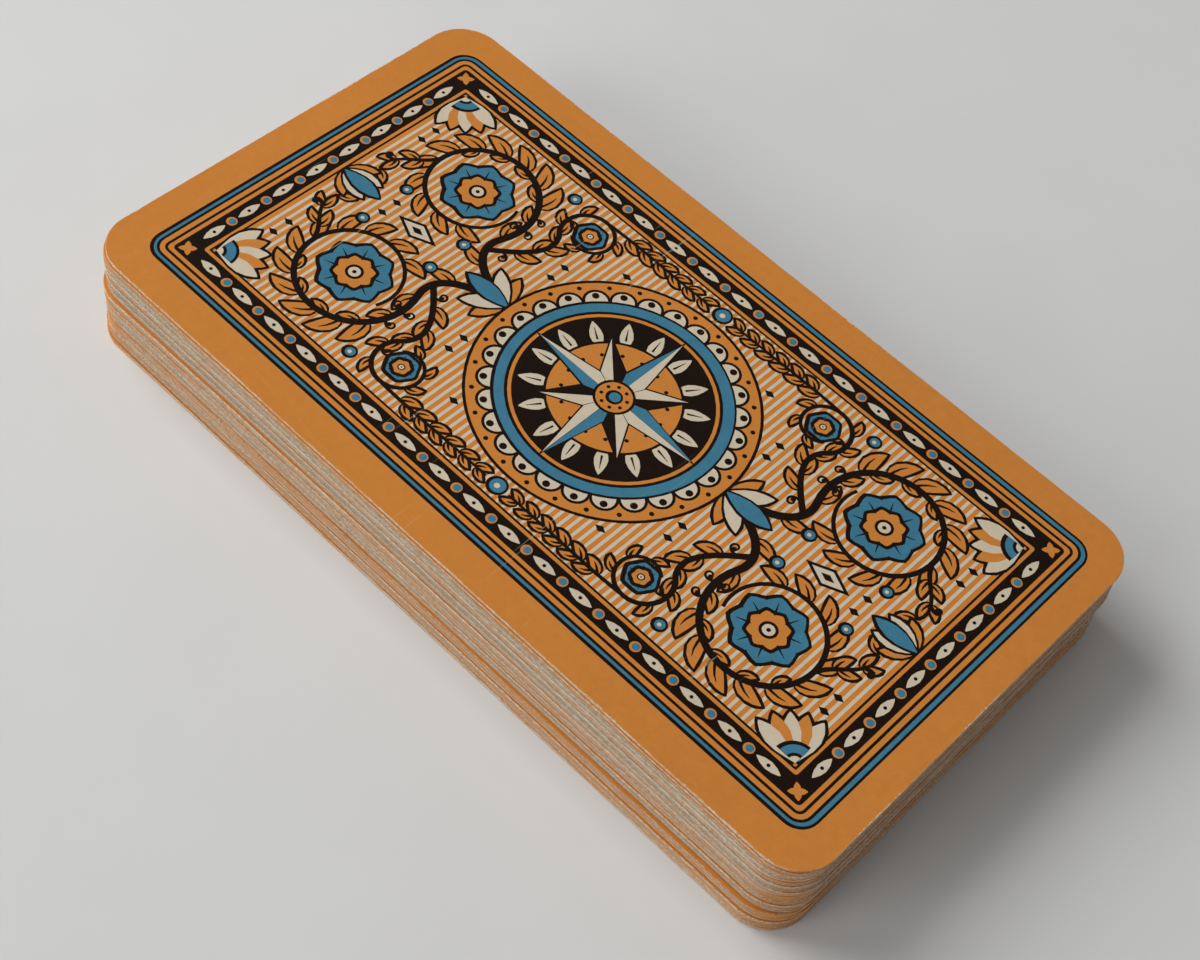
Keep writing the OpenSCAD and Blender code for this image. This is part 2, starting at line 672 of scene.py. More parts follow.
@dataclass
class Stem:
    """Tapering stem that carries leaves and tendrils, the same in each quarter of the card."""

    path: Points
    widths: Pair
    # Width and bend of a leaf, and length and bend of its rib, by the leaf's length and its lean
    leaf_width: float = 0.42
    leaf_bend: float = 0.9
    rib_length: float = 0.66
    rib_bend: float = 0.6
    rib_half_widths: tuple[float, ...] = (0.17, 0.15, 0.11, 0.04)
    # Angles at which a tendril leaves the stem and by which it winds up, and its sizes
    tendril_lean: float = 0.35
    tendril_curl: float = 6.6
    tendril_half_widths: Pair = (0.18, 0.12)
    tendril_bead: float = 0.3

    def at(self, shares: Points) -> tuple[Points, Points]:
        """Find places on the stem, with the heading from just before each to just after it.

        Args:
            shares: Shares of the stem's run.

        Returns:
            The places and the headings.
        """
        run = np.concatenate([[0.0], np.cumsum(np.linalg.norm(np.diff(self.path, axis=0), axis=1))])
        before, after = (
            np.stack([np.interp(shares * run[-1] + step, run, self.path[:, k]) for k in (0, 1)], axis=1)
            for step in (-0.1, 0.1)
        )
        ahead = after - before
        return (before + after) / 2, np.arctan2(ahead[:, 1], ahead[:, 0])

    def draw(self, sheet: Sheet) -> None:
        """Lay the stem itself."""
        sheet.lay_quartered(Ink.BLACK, stroke(self.path, np.linspace(*self.widths, len(self.path))))

    def leaves(self, sheet: Sheet, side: int, span: Pair, count: int, sizes: Pair,
               lean: float = 0.85) -> None:
        """Lay leaves along one side, at an even pitch.

        Args:
            sheet: Sheet to print on.
            side: 1 for the stem's left side, -1 for its right.
            span: Shares of the stem's run where the leaves start and end.
            count: Number of leaves.
            sizes: Lengths of the first and the last leaf.
            lean: Angle between a leaf's root and the stem.
        """
        places, headings = self.at(np.linspace(*span, count))
        spots = list(zip(places, headings + side * lean, np.linspace(*sizes, count)))
        for margin, ink in outlined(Ink.ORANGE):
            for place, heading, length in spots:
                width, bend = self.leaf_width * length, -self.leaf_bend * side * lean
                blade = leaf(length, width, bend, margin=margin)
                sheet.lay_quartered(ink, turned(blade, heading, place))
        half_widths = np.array(self.rib_half_widths)
        for place, heading, length in spots:
            bend = -self.rib_bend * side * lean
            rib = sprung(place, heading, self.rib_length * length, bend, len(half_widths))
            sheet.lay_quartered(Ink.BLACK, stroke(rib, half_widths))

    def tendrils(self, sheet: Sheet, side: int, shares: tuple[float, ...], length: float) -> None:
        """Lay thin tendrils that curl away from one side of the stem, each with a bead at its tip.

        Args:
            sheet: Sheet to print on.
            side: 1 for the stem's left side, -1 for its right.
            shares: Shares of the stem's run where they spring from it.
            length: Length of a tendril.
        """
        for place, heading in zip(*self.at(np.array(shares))):
            curl = sprung(place, heading + self.tendril_lean * side, length, self.tendril_curl * side)
            half_widths = np.linspace(*self.tendril_half_widths, len(curl))
            sheet.lay_quartered(Ink.BLACK, stroke(curl, half_widths), disc(self.tendril_bead, curl[-1]))


@dataclass
class LeafScroll:
    """Leafy scroll that springs from the medallion in each quarter, winds round a flower and branches."""

    eye: Pair = (9.25, 29.5)
    radii: Pair = (7.25, 5.0)
    side_eye: Pair = (14.3, 17.0)
    side_radii: Pair = (3.45, 2.05)
    side_flower: tuple[float, int] = (1.75, 6)
    # Place and radius of each berry, the width of its line outside and inside, and its pale heart's share
    berries: tuple[tuple[Pair, float], ...] = (
        ((17.35, 0.0), 1.1), ((2.55, 24.9), 0.8), ((3.3, 34.6), 0.75), ((17.0, 21.9), 0.8))
    berry_line: Pair = (0.1, 0.22)
    berry_heart: float = 0.3

    def print_on(self, sheet: Sheet) -> None:
        """Lay the stems with what they carry, then the flowers and the berries.

        Args:
            sheet: Sheet to print on.
        """
        coil = spiral(self.eye, self.radii, (-2.0, 5.0))
        root = cubic((0.1, 15.0), (0.5, 21.0), (3.2, 24.0), coil[0])
        main = Stem(np.concatenate([root[:-1], coil]), (0.52, 0.2))
        side_coil = spiral(self.side_eye, self.side_radii, (2.2, -3.9), 30)
        fork = main.at(np.array([0.17]))[0][0]
        dip = cubic(fork, (5.6, 21.2), (9.4, 16.6), side_coil[0])
        side = Stem(np.concatenate([dip[:-1], side_coil]), (0.38, 0.18))
        fall = Stem(cubic((17.25, 17.0), (17.6, 12.5), (17.2, 7.5), (17.35, 1.6)), (0.24, 0.15))
        crown = Stem(cubic((9.4, 35.7), (7.0, 36.4), (5.8, 40.4), (2.6, 38.4)), (0.3, 0.15))
        for stem, way, span, count, sizes in (
            (main, -1, (0.34, 0.86), 11, (4.0, 3.1)),
            (main, 1, (0.29, 0.56), 5, (2.5, 1.8)),
            (main, 1, (0.13, 0.22), 2, (3.0, 3.0)),
            (side, -1, (0.12, 0.36), 3, (2.8, 2.4)),
            (side, 1, (0.2, 0.52), 4, (2.4, 2.0)),
            (side, 1, (0.74, 0.92), 3, (1.9, 1.6)),
            (fall, -1, (0.2, 0.9), 6, (2.3, 1.8)),
            (fall, 1, (0.24, 0.92), 6, (2.0, 1.7)),
            (crown, 1, (0.25, 0.95), 3, (2.4, 2.0)),
            (crown, -1, (0.3, 0.62), 2, (2.2, 1.9)),
        ):
            stem.leaves(sheet, way, span, count, sizes)
        for stem, way, shares, length in (
            (main, 1, (0.25,), 3.4),
            (main, -1, (0.255, 0.295), 3.6),
            (side, -1, (0.42, 0.05), 3.6),
            (crown, -1, (0.62,), 3.0),
        ):
            stem.tendrils(sheet, way, shares, length)
        for stem in (main, side, fall, crown):
            stem.draw(sheet)
        Rosette().print_on(sheet, self.eye)
        Rosette(*self.side_flower).print_on(sheet, self.side_eye)
        outside, inside = self.berry_line
        for place, size in self.berries:
            sheet.lay_quartered(Ink.BLACK, disc(size + outside, place))
            sheet.lay_quartered(Ink.BLUE, disc(size - inside, place))
            sheet.lay_quartered(Ink.PAPER, disc(self.berry_heart * size, place))


@dataclass
class CornerFan:
    """Fan of petals that opens from each corner of the field."""

    petals: int = 5
    length: float = 5.5
    # How much of the pitch at its tip a petal is wide
    petal_share: float = 1.06
    belly: float = 1.3
    inset: float = 0.3
    # Radii of the quarter rounds at its foot
    foot: Rings = ((Ink.BLACK, 2.4), (Ink.BLUE, 2.0), (Ink.BLACK, 1.1), (Ink.PAPER, 0.75))

    def print_on(self, sheet: Sheet, half: Points) -> None:
        """Lay the fan in the four corners.

        Args:
            sheet: Sheet to print on.
            half: Half the width and half the length of the field.
        """
        corner = half - self.inset
        angles = np.pi + (np.arange(self.petals) + 0.5) / self.petals * QUARTER_TURN
        width = self.petal_share * self.length * QUARTER_TURN / self.petals
        for margin, inks in ((INK_LINE, (Ink.BLACK, Ink.BLACK)), (0.0, (Ink.PAPER, Ink.ORANGE))):
            petal = leaf(self.length, width, belly=self.belly, margin=margin)
            for k, angle in enumerate(angles):
                sheet.lay_quartered(inks[k % 2], turned(petal, angle, corner))
        for ink, radius in self.foot:
            bow = arc(radius, np.pi, 1.5 * np.pi, corner)
            sheet.lay_quartered(ink, np.concatenate([corner[None], bow]))


@dataclass
class AxisSprays:
    """Buds on the card's long axis, on the medallion and at the ends, with a lozenge between them."""

    foot: float = 15.7
    lengths: Pair = (6.0, 5.4)
    # Lean, size and ink of a bud's blades, from the outermost
    blades: tuple[tuple[float, float, Ink], ...] = (
        (0.95, 0.7, Ink.ORANGE), (0.48, 0.86, Ink.PAPER), (0.0, 1.0, Ink.BLUE))
    blade_width: float = 0.34
    blade_bend: float = 0.35
    belly: float = 1.1
    lozenge_place: float = 29.5
    lozenge: Pair = (1.35, 2.9)
    lozenge_shares: Rings = ((Ink.BLACK, 1.0), (Ink.PAPER, 0.72), (Ink.BLACK, 0.3))

    def print_on(self, sheet: Sheet, half_l: float) -> None:
        """Lay the sprays in both halves.

        Args:
            sheet: Sheet to print on.
            half_l: Half the length of the field.
        """
        for foot, way, length in zip((self.foot, half_l), (1, -1), self.lengths):
            for lean, size, ink in self.blades:
                heading = way * (QUARTER_TURN - lean)
                bend = -self.blade_bend * np.sign(lean)
                for margin, fill in outlined(ink):
                    width = self.blade_width * size * length
                    blade = leaf(size * length, width, bend, self.belly, margin)
                    sheet.lay_quartered(fill, turned(blade, heading, (0.0, foot)))
        for ink, size in self.lozenge_shares:
            sheet.lay_quartered(ink, DIAMOND * self.lozenge * size + (0.0, self.lozenge_place))


@dataclass
class CardBack:
    """Back of a card: a plain margin, a banded border and an ornamented field."""

    half: Pair = (24.1, 46.35)
    corner: float = 2.4
    # Inks and widths of the frames outside the bead strip and inside it
    border: Rings = (
        (Ink.BLACK, 0.33), (Ink.BLUE, 0.38), (Ink.BLACK, 0.31), (Ink.ORANGE, 0.54), (Ink.BLACK, 0.32),
        (Ink.ORANGE, 0.45))
    inner: Rings = ((Ink.ORANGE, 0.4), (Ink.BLACK, 0.25), (Ink.ORANGE, 0.0))
    inner_corner: float = 0.3
    # How far the ground's lines run in under the medallion
    ground_tuck: float = 0.15
    off_middle: Pair = (0.14, -0.28)
    blue_slip: Pair = (0.05, -0.06)

    def sheet(self) -> Sheet:
        """Print the back a little off the card's middle, with the blue plate a little out of register.

        Returns:
            The sheet with every outline of the back, without the card's own edge.
        """
        sheet = Sheet()
        half = sheet.lay_frames(self.border, self.half, self.corner)
        strip = BeadStrip()
        strip.print_on(sheet, half)
        half = sheet.lay_frames(self.inner, half - strip.width, self.inner_corner)
        medallion = CompassMedallion()
        ground = RuledGround()
        ground.print_on(sheet, half, medallion.radius - self.ground_tuck)
        motifs = Sheet()
        LeafScroll().print_on(motifs)
        AxisSprays().print_on(motifs, half[1])
        CornerFan().print_on(motifs, half)
        medallion.print_on(motifs)
        ground.sow_on(motifs, half, medallion.radius)
        sheet.outlines += motifs.outlines
        sheet.inks += motifs.inks
        for k, ink in enumerate(sheet.inks):
            slip = self.blue_slip if ink is Ink.BLUE else MIDDLE
            sheet.outlines[k] = sheet.outlines[k] + self.off_middle + slip
        return sheet


# Faces


def heart_outline() -> Points:
    """Heart of half height 1, point down: x is a sine cubed, y a sum of four cosines.

    Returns:
        Closed outline of the heart.
    """
    t = np.linspace(0.0, FULL_TURN, 61)[:-1]
    y = 13 * np.cos(t) - 5 * np.cos(2 * t) - 2 * np.cos(3 * t) - np.cos(4 * t) + 2.5
    return np.stack([16 * np.sin(t) ** 3, y], axis=1) / 15.0


def round_spot(radius: float, place: Pair = MIDDLE) -> Points:
    """Circle of a sign, in chords fine enough for the largest sign."""
    return disc(LARGEST_SIGN * radius) / LARGEST_SIGN + np.asarray(place)


@dataclass(frozen=True)
class SuitSign:
    """Sign of a suit, of half height about 1, upright about its middle: outlines from the lowest up."""

    line: float = 0.07

    def mark(self, suit: Suit) -> Mark:
        """Draw a suit's sign.

        Args:
            suit: The suit.

        Returns:
            The sign's outlines with their inks.
        """
        draw = {
            Suit.BELLS: self._bell,
            Suit.HEARTS: self._heart,
            Suit.LEAVES: self._leaf,
            Suit.ACORNS: self._acorn,
        }
        return draw[suit]()

    def _bell(self) -> Mark:
        """Draw a round hawk bell with a loop, a banded waist and a slit.

        Returns:
            The outlines with their inks.
        """
        band = cubic((-0.95, 0.12), (-0.4, -0.1), (0.4, -0.1), (0.95, 0.12))
        slit = stroke(np.array([[0.0, -0.3], [0.0, -0.8]]), 0.05)
        return [
            (Ink.BLACK, round_spot(0.24, (0.0, 1.08))),
            (Ink.PAPER, round_spot(0.11, (0.0, 1.12))),
            (Ink.BLACK, round_spot(1.0)),
            (Ink.GOLD, round_spot(1.0 - self.line)),
            (Ink.BLACK, stroke(band, 0.2)),
            (Ink.RED, stroke(band, 0.13)),
            (Ink.BLACK, round_spot(0.16, (0.0, -0.3))),
            (Ink.BLACK, slit),
        ]

    def _heart(self) -> Mark:
        """Draw a heart with a pale shine.

        Returns:
            The outlines with their inks.
        """
        heart = heart_outline()
        shine = turned(leaf(0.75, 0.2, -0.9, steps=14), QUARTER_TURN, (-0.68, 0.08))
        return [(Ink.BLACK, heart * (1 + self.line)), (Ink.RED, heart), (Ink.PAPER, shine)]

    def _leaf(self) -> Mark:
        """Draw a broad leaf with its point up, a stalk, a midrib and three pairs of ribs.

        Returns:
            The outlines with their inks.
        """
        blade = heart_outline() * (0.92, -0.95)
        stalk = cubic((0.0, -0.6), (0.0, -1.0), (0.05, -1.2), (0.28, -1.4))
        midrib = stroke(np.array([[0.0, -0.75], [0.0, 0.72]]), np.array([0.06, 0.02]))
        ribs = [
            stroke(np.array([[0.0, y], [side * reach, y + 0.34]]), np.array([0.04, 0.015]))
            for side in (1, -1) for y, reach in ((-0.55, 0.62), (-0.2, 0.52), (0.15, 0.36))
        ]
        return [
            (Ink.BLACK, blade * (1 + self.line)),
            (Ink.GREEN, blade),
            (Ink.BLACK, stroke(stalk, 0.06)),
            (Ink.BLACK, midrib),
            *((Ink.BLACK, rib) for rib in ribs),
        ]

    def _acorn(self) -> Mark:
        """Draw a nut with a tip, in a scaled cup with a stalk.

        Returns:
            The outlines with their inks.
        """
        tip = np.array([[-0.12, -0.95], [0.0, -1.22], [0.12, -0.95]])
        whole = round_spot(1.0)
        nut = whole * (0.62, 0.82) + (0.0, -0.2)
        brow = whole[:len(whole) // 2 + 1] * (0.78, 0.62)
        lip = cubic((-0.78, 0.0), (-0.5, -0.28), (0.5, -0.28), (0.78, 0.0))[1:-1]
        cup = np.concatenate([brow, lip]) + (0.0, 0.12)
        scales = [
            round_spot(0.055, (x + 0.13 * (row % 2), 0.1 + 0.17 * row))
            for row in range(3) for x in (-0.39, -0.13, 0.13)
        ]
        stalk = cubic((0.0, 0.7), (0.0, 0.9), (0.05, 1.0), (0.24, 1.12))
        return [
            (Ink.BLACK, tip),
            (Ink.BLACK, nut * (1 + self.line)),
            (Ink.GOLD, nut),
            (Ink.BLACK, cup * (1 + self.line)),
            (Ink.GREEN, cup),
            *((Ink.BLACK, scale) for scale in scales),
            (Ink.BLACK, stroke(stalk, 0.08)),
        ]


# Pips of a number card: how many stand in each of its two columns, and the heights of those between
PIP_ROWS = {
    Rank.SEVEN: (3, (18.0,)),
    Rank.EIGHT: (3, (18.0, -18.0)),
    Rank.NINE: (4, (0.0,)),
    Rank.TEN: (4, (24.0, -24.0)),
}
# Whether a court card's pips stand above its shield, below it or both
COURT_PIPS = {Rank.OVER: (1,), Rank.UNDER: (-1,), Rank.KING: (1, -1)}


@dataclass
class CardFace:
    """Face of a card: its pips in rows, or a shield with its rank's sign on the court cards."""

    suit: Suit
    rank: Rank
    pip: float = 5.2
    pip_corner: Pair = (14.0, 36.0)
    ace_pip: float = 13.5
    ace_height: float = 21.0
    court_pip_corner: Pair = (16.5, 37.5)
    shield: float = 19.0
    shield_shares: Rings = ((Ink.BLACK, 1.0), (Ink.GOLD, 0.97), (Ink.BLACK, 0.85), (Ink.PAPER, 0.83))
    shield_pip: float = 9.0
    frame_half: Pair = (24.6, 46.6)
    frame_line: float = 0.22
    frame_corner: float = 3.0

    def sheet(self) -> Sheet:
        """Print the face.

        Returns:
            The sheet with every outline of the face, without the card's own edge.
        """
        sheet = Sheet()
        line = ((Ink.BLACK, self.frame_line), (Ink.PAPER, 0.0))
        sheet.lay_frames(line, self.frame_half, self.frame_corner)
        if self.rank is Rank.ACE:
            self._lay_pips(sheet, [(0.0, self.ace_height), (0.0, -self.ace_height)], self.ace_pip)
        elif self.rank in PIP_ROWS:
            self._lay_pips(sheet, self._spots(), self.pip)
        else:
            self._court(sheet)
        return sheet

    def _spots(self) -> list[Pair]:
        """Places of the pips on a number card.

        Returns:
            The places in the two columns, and then those between them.
        """
        rows, between = PIP_ROWS[self.rank]
        x, y = self.pip_corner
        columns = [(column, height) for column in (-x, x) for height in np.linspace(y, -y, rows)]
        return columns + [(0.0, height) for height in between]

    def _lay_pips(self, sheet: Sheet, places: list[Pair], size: float) -> None:
        """Lay the suit's sign at each place, upside down in the lower half.

        Args:
            sheet: Sheet to print on.
            places: Middles of the signs.
            size: Half height of a sign.
        """
        sign = SuitSign().mark(self.suit)
        for place in places:
            turn = np.pi if place[1] < 0.0 else 0.0
            for ink, outline in sign:
                sheet.lay(ink, turned(outline * size, turn, place))

    def _court(self, sheet: Sheet) -> None:
        """Lay a shield with the suit's sign, the pips that tell the rank, and a king's crown.

        Args:
            sheet: Sheet to print on.
        """
        flank = cubic((0.85, 0.3), (0.85, -0.4), (0.4, -0.95), (0.0, -1.2))
        right = np.concatenate([[(0.0, 1.0), (0.85, 1.0)], flank])
        shield = np.concatenate([right, right[1:-1][::-1] * (-1, 1)]) * self.shield
        for ink, share in self.shield_shares:
            sheet.lay(ink, shield * share)
        self._lay_pips(sheet, [MIDDLE], self.shield_pip)
        x, y = self.court_pip_corner
        places = [(side, way * y) for way in COURT_PIPS[self.rank] for side in (-x, x)]
        self._lay_pips(sheet, places, self.pip)
        if self.rank is Rank.KING:
            self._crown(sheet)

    def _crown(self, sheet: Sheet) -> None:
        """Lay a crown of five points with three stones above the shield.

        Args:
            sheet: Sheet to print on.
        """
        half = np.array([[0, 5], [4, 11], [6, 4], [11, 9], [9, 0], [8.5, -3.0]])
        crown = np.concatenate([half[4:0:-1] * (-1, 1), half, half[5:] * (-1, 1)]) + (0.0, 25.0)
        heart = np.array([0.0, 27.0])
        sheet.lay(Ink.BLACK, (crown - heart) * 1.07 + heart)
        sheet.lay(Ink.GOLD, crown)
        sheet.lay(Ink.RED, *(disc(0.9, (x, 23.5)) for x in (-5.0, 0.0, 5.0)))


# Card


def new_object(data: bpy.types.ID) -> bpy.types.Object:
    """Put a mesh, lamp or camera into the scene, as an object of the same name.

    Args:
        data: The mesh, lamp or camera.

    Returns:
        The object.
    """
    made = bpy.data.objects.new(data.name, data)
    bpy.context.scene.collection.objects.link(made)
    return made


def cells(rows: NDArray, ahead: NDArray) -> NDArray:
    """Values at the four corners of each cell between neighbouring rows, one cell after another."""
    return np.stack([rows[:-1], ahead[:-1], ahead[1:], rows[1:]], axis=-1).reshape(-1, 4)


def halved(quads: NDArray) -> NDArray:
    """Values at the corners of the two triangles of each quad, from those at the quad's corners."""
    return np.concatenate([quads[:, [0, 1, 2]], quads[:, [0, 2, 3]]])


@dataclass
class CardPlace:
    """Where a card of the frame lies, and its cut, in millimetres."""

    middle: Points
    turn: float
    base: float
    width: float
    length: float
    thickness: float
    corner: float

    @classmethod
    def of_node(cls, node: str) -> "CardPlace":
        """Read a card's place and cut off its CAD node.

        The longest straight edge of its outline runs along the card, and is as long as the card
        less its two corners.

        Args:
            node: Name of the CAD node.

        Returns:
            The place and the cut.
        """
        corners = read(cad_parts[node].data.vertices, "co", 3).astype(np.float64) / MM
        outline = np.unique(np.round(corners[:, :2], 4), axis=0)
        away = outline - outline.mean(axis=0)
        outline = outline[np.argsort(np.arctan2(away[:, 1], away[:, 0]))]
        edges = np.roll(outline, -1, axis=0) - outline
        lengths = np.linalg.norm(edges, axis=1)
        along = edges[np.argmax(lengths)]
        along = along * np.sign(along[1])
        turn = np.arctan2(-along[0], along[1])
        level = turned(outline, -turn)
        low, high = level.min(axis=0), level.max(axis=0)
        width, length = high - low
        return cls(
            middle=turned((low + high)[None] / 2, turn)[0],
            turn=turn,
            base=corners[:, 2].min(),
            width=width,
            length=length,
            thickness=np.ptp(corners[:, 2]),
            corner=(length - lengths.max()) / 2,
        )

    def seat(self, local: Points) -> Points:
        """Points of a card's own frame, in mm, as points of the part's frame, in metres."""
        flat = turned(local[:, :2], self.turn, self.middle)
        return np.column_stack([flat, local[:, 2] + self.base]) * MM


@dataclass
class CardEdge:
    """Path round a card, where its flat sides end and its rim begins, anticlockwise from above."""

    points: Points
    normals: Points
    run: Points
    length: float

    @classmethod
    def of_cut(cls, place: CardPlace, softness: float, pitch: float = 2.5, chords: int = 16) -> "CardEdge":
        """Lay the path of a rounded rectangle, set in by the softness of the edge.

        Args:
            place: The card's cut.
            softness: Radius of the softened edge.
            pitch: Step along the straight sides.
            chords: Chords in each corner.

        Returns:
            The path, with its outward normals and the run to each point.
        """
        half = np.array([place.width, place.length]) / 2 - place.corner
        radius = place.corner - softness
        angles = np.concatenate([np.linspace(k, k + 1, chords + 1) for k in range(4)]) * QUARTER_TURN
        signs = np.repeat(np.array(CORNER_SIGNS), chords + 1, axis=0)
        normals = np.stack([np.cos(angles), np.sin(angles)], axis=1)
        bends = signs * half + radius * normals
        steps = np.linalg.norm(np.roll(bends, -1, axis=0) - bends, axis=1)
        run = np.concatenate([[0.0], np.cumsum(steps)])
        stops = np.unique(np.concatenate([
            np.linspace(a, b, max(int((b - a) / pitch), 1) + 1)[:-1] for a, b in zip(run, run[1:])
        ]))
        looped = [np.interp(stops, run, np.append(column, column[0])) for column in (*bends.T, *normals.T)]
        return cls(np.stack(looped[:2], axis=1), np.stack(looped[2:], axis=1), stops, run[-1])

    def waves(self, draw: np.random.Generator, lowest: int, highest: int, count: int = 14) -> Points:
        """Sum of sine waves with random phases that close up round the card.

        Args:
            draw: Source of the waves.
            lowest: Fewest waves round the card.
            highest: One more than the most.
            count: How many sines are summed.

        Returns:
            Heights of the sum at each point of the path, squeezed to within 1 of zero.
        """
        turns = draw.integers(lowest, highest, count)
        phases = draw.uniform(0.0, FULL_TURN, count)
        heights = np.sin(FULL_TURN * turns * self.run[:, None] / self.length + phases).sum(axis=1)
        return np.tanh(heights / np.sqrt(count))


@dataclass
class Card:
    """One card of the pack: its printed sides and its rim as a single closed mesh."""

    node: str
    place: CardPlace
    back: Facets
    face: Facets
    edge: CardEdge
    softness: float
    lift: float = 0.014
    fray: float = 0.02
    # Numbers of waves round the card in the lift and in the fray, from the fewest to below the last
    lift_waves: tuple[int, int] = (1, 30)
    fray_waves: tuple[int, int] = (20, 120)
    # Points in each of the rim's two quarter rounds
    round_points: int = 4

    def build(self, materials: dict[Ink, bpy.types.Material], seed: int) -> bpy.types.Object:
        """Make the card's object, put it on its body and let it stand for its CAD node.

        Args:
            materials: Material of each ink.
            seed: Seed of the waves in the card's edge.

        Returns:
            The card's object.
        """
        points, corners, inks, places = self._surface(np.random.default_rng(seed))
        mesh = bpy.data.meshes.new(self.node + "_card")
        mesh.vertices.add(len(points))
        mesh.vertices.foreach_set("co", self.place.seat(points).astype(np.float32).ravel())
        mesh.loops.add(corners.size)
        mesh.loops.foreach_set("vertex_index", corners.astype(np.int32).ravel())
        mesh.polygons.add(len(corners))
        mesh.polygons.foreach_set("loop_start", np.arange(0, corners.size, 3, dtype=np.int32))
        mesh.polygons.foreach_set("material_index", inks.astype(np.int32))
        mesh.polygons.foreach_set("use_smooth", inks == Ink.BOARD.value)
        mesh.update(calc_edges=True)
        uv = mesh.uv_layers.new(name="card")
        uv.data.foreach_set("uv", places.astype(np.float32).ravel())
        for ink in Ink:
            mesh.materials.append(materials[ink])
        card = new_object(mesh)
        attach(card, self.node)
        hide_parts(self.node)
        return card

    def _surface(self, draw: np.random.Generator) -> tuple[Points, Indices, Indices, Points]:
        """Join the two printed sides by the rim.

        The rim is a profile carried round the edge: a quarter round out of the face, a straight cut
        and a quarter round into the back. Its first and last rows are points of the two sides. Waves
        along the edge lift those rows a little and fray the cut.

        Args:
            draw: Source of the waves.

        Returns:
            Points in the card's own frame, the corners of each triangle, its ink, and each corner's
            place on the UV map: the place on the card, or the run and share of thickness on the rim.
        """
        thick, soft = self.place.thickness, self.softness
        swing = np.linspace(0.0, QUARTER_TURN, self.round_points)
        outset = soft * np.concatenate([np.sin(swing), np.cos(swing)])
        height = np.concatenate([soft * (1 - np.cos(swing)), thick - soft * (1 - np.sin(swing))])
        lifts = self.lift * np.stack([self.edge.waves(draw, *self.lift_waves) for _ in range(2)])
        fray = self.fray * self.edge.waves(draw, *self.fray_waves)
        share = (height / thick)[:, None]
        rows_z = height[:, None] + lifts[0] * (1 - share) + lifts[1] * share
        reach = outset[:, None] * (1 + fray / soft)
        rows_xy = self.edge.points + reach[:, :, None] * self.edge.normals
        back = np.column_stack([self.back.points, np.full(len(self.back.points), thick)])
        face = np.column_stack([self.face.points * (-1, 1), np.zeros(len(self.face.points))])
        top_ring = self.back.ring(self.edge.points)
        low_ring = self.face.ring(self.edge.points * (-1, 1))
        back[top_ring, 2] = rows_z[-1]
        face[low_ring, 2] = rows_z[0]
        between = np.dstack([rows_xy, rows_z])[1:-1]
        points = np.concatenate([back, face, between.reshape(-1, 3)])
        numbers = len(back) + len(face) + np.arange(between.size // 3).reshape(between.shape[:2])
        rows = np.concatenate([[low_ring + len(back)], numbers, [top_ring]])
        rim = halved(cells(rows, np.roll(rows, -1, axis=1)))
        run = np.append(self.edge.run, self.edge.length) / UV_SPAN
        u = cells(np.broadcast_to(run[:-1], rows.shape), np.broadcast_to(run[1:], rows.shape))
        level = np.broadcast_to(share, rows.shape)
        rim_uv = halved(np.stack([u, cells(level, level)], axis=-1))
        # Mirrored to face down, the face's triangles already run the right way round from below
        flat = np.concatenate([self.back.corners, self.face.corners + len(back)])
        inks = np.concatenate([self.back.inks, self.face.inks, np.full(len(rim), Ink.BOARD.value)])
        places = np.concatenate([points[flat, :2] / UV_SPAN, rim_uv])
        return points, np.concatenate([flat, rim]), inks, places


# Finishes


def linear(red: int, green: int, blue: int) -> Colour:
    """Colour in the linear light that the shaders take.

    Args:
        red: Its red, from 0 to 255 in sRGB.
        green: Its green.
        blue: Its blue.

    Returns:
        The colour, with an alpha of 1.
    """
    share = np.array([red, green, blue]) / 255.0
    light = np.where(share <= 0.04045, share / 12.92, ((share + 0.055) / 1.055) ** 2.4)
    return (*(float(x) for x in light), 1.0)


def toned(colour: Colour, level: float) -> Colour:
    """Colour at a level of its brightness."""
    return (*(level * x for x in colour[:3]), 1.0)


PAPER_WHITE = linear(209, 195, 171)


